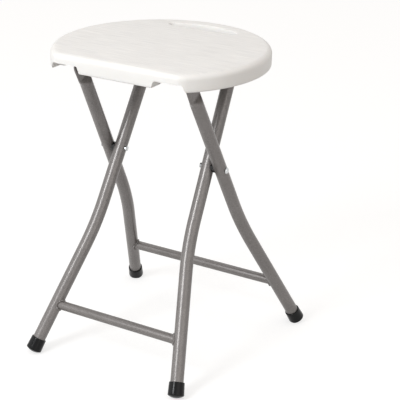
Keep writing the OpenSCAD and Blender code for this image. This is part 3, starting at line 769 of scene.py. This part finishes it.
seat = bpy.data.meshes.new_from_object(solid.evaluated_get(bpy.context.evaluated_depsgraph_get()))
for helper in (solid, tool):
    bpy.data.objects.remove(helper)
seat.transform(Matrix.Scale(MM, 4) @ Matrix.Translation((0, 0, rim_z)))
smooth(seat, 30)
finish_piece(seat, "seat_look", "seat", "seat_plastic", "seat")
print("seat faces after the cuts:", len(seat.polygons))

# %% [markdown]
# ## Finishes on the remaining CAD pieces
# Brackets, links, washers and screws keep their CAD shapes. Each takes the finish that its
# record names.

# %% CAD finishes
for part in frame["record"]["subparts"]:
    node = frame["nodes"][part["node"]]
    for place in node.material_slots:
        place.material = SLOTS[part["material_slot"]]
shown = [n for n, o in frame["nodes"].items() if not o.hide_render]
print("CAD pieces shown:", sorted(shown))

# %% [markdown]
# ## Sky
# A glow that is stronger overhead lights the top of the seat. To the camera and to reflections
# it is plain white.

# %% Sky
def seen_rays(tree):
    """One for camera, glossy and transmission rays, nought for the rays that light the stool."""
    rays = add(tree, "ShaderNodeLightPath").outputs
    seen = add(tree, "ShaderNodeMath", {
        0: rays["Is Camera Ray"], 1: rays["Is Glossy Ray"]}, operation="MAXIMUM")
    seen = add(tree, "ShaderNodeMath", {
        0: seen.outputs[0], 1: rays["Is Transmission Ray"]}, operation="MAXIMUM")
    return seen.outputs[0]


world = bpy.data.worlds.new("studio")
scene.world = world
world.use_nodes = True
tree = world.node_tree
tree.nodes.clear()
way = add(tree, "ShaderNodeSeparateXYZ", {0: add(tree, "ShaderNodeTexCoord").outputs["Generated"]})
height = add(tree, "ShaderNodeMapRange", {0: way.outputs[2], 1: 0.0, 2: 1.0, 3: 0.22, 4: 0.95})
glow = add(tree, "ShaderNodeBackground", {"Color": linear("#fffaf5"), "Strength": height.outputs[0]})
white = add(tree, "ShaderNodeBackground", {"Color": linear("#ffffff"), "Strength": 1.0})
both = add(tree, "ShaderNodeMixShader", {
    0: seen_rays(tree), 1: glow.outputs[0], 2: white.outputs[0]})
add(tree, "ShaderNodeOutputWorld", {0: both.outputs[0]})
print("sky has", len(tree.nodes), "nodes")

# %% [markdown]
# ## Floor
# The stool stands on a pale matt floor. To the camera and to reflections the floor adds light
# of its own, so that it reads as white and still keeps the shadow under the stool.

# %% Floor
ground = bmesh.new()
bmesh.ops.create_grid(ground, x_segments=1, y_segments=1, size=9)
mesh = bpy.data.meshes.new("floor")
ground.to_mesh(mesh)
ground.free()
floor = bpy.data.objects.new("floor", mesh)
scene.collection.objects.link(floor)
pale = bpy.data.materials.new("pale floor")
pale.use_nodes = True
tree = pale.node_tree
tree.nodes.clear()
matt = add(tree, "ShaderNodeBsdfDiffuse", {"Color": linear("#b0b0b0")})
lift = add(tree, "ShaderNodeMath", {0: seen_rays(tree), 1: 0.66}, operation="MULTIPLY")
lit = add(tree, "ShaderNodeEmission", {"Color": linear("#ffffff"), "Strength": lift.outputs[0]})
both = add(tree, "ShaderNodeAddShader", {0: matt.outputs[0], 1: lit.outputs[0]})
add(tree, "ShaderNodeOutputMaterial", {0: both.outputs[0]})
mesh.materials.append(pale)
print("floor laid, %.0f m wide" % floor.dimensions.x)

# %% [markdown]
# ## Lamps
# A tall lamp high in front, a little to the left, draws the bright stripe on the tubes. A weak
# low one on the left and a broad one on the right fill the shade. All three stand the same
# distance from a point half way up the stool.

# %% Lamps
LAMPS_AWAY = 2.3
AIM = Vector((0, 0, 0.25))


def lamp(name, towards, power, wide, high, colour):
    """A rectangular lamp in watts and metres that stands in a direction and faces the stool."""
    data = bpy.data.lights.new(name, "AREA")
    data.shape = "RECTANGLE"
    data.energy, data.size, data.size_y = power, wide, high
    data.color = linear(colour)[:3]
    made = bpy.data.objects.new(name, data)
    scene.collection.objects.link(made)
    away = Vector(towards).normalized()
    made.location = AIM + away * LAMPS_AWAY
    made.rotation_euler = away.to_track_quat("Z", "Y").to_euler()


lamp("key", (-0.200, -0.815, 0.545), 26, 0.6, 1.1, "#fafdff")
lamp("side", (-0.760, -0.630, 0.160), 3, 1.6, 1.0, "#fafdff")
lamp("fill", (0.850, -0.480, 0.220), 7, 1.8, 1.8, "#fff8f0")

# %% Finish
print("scene built")
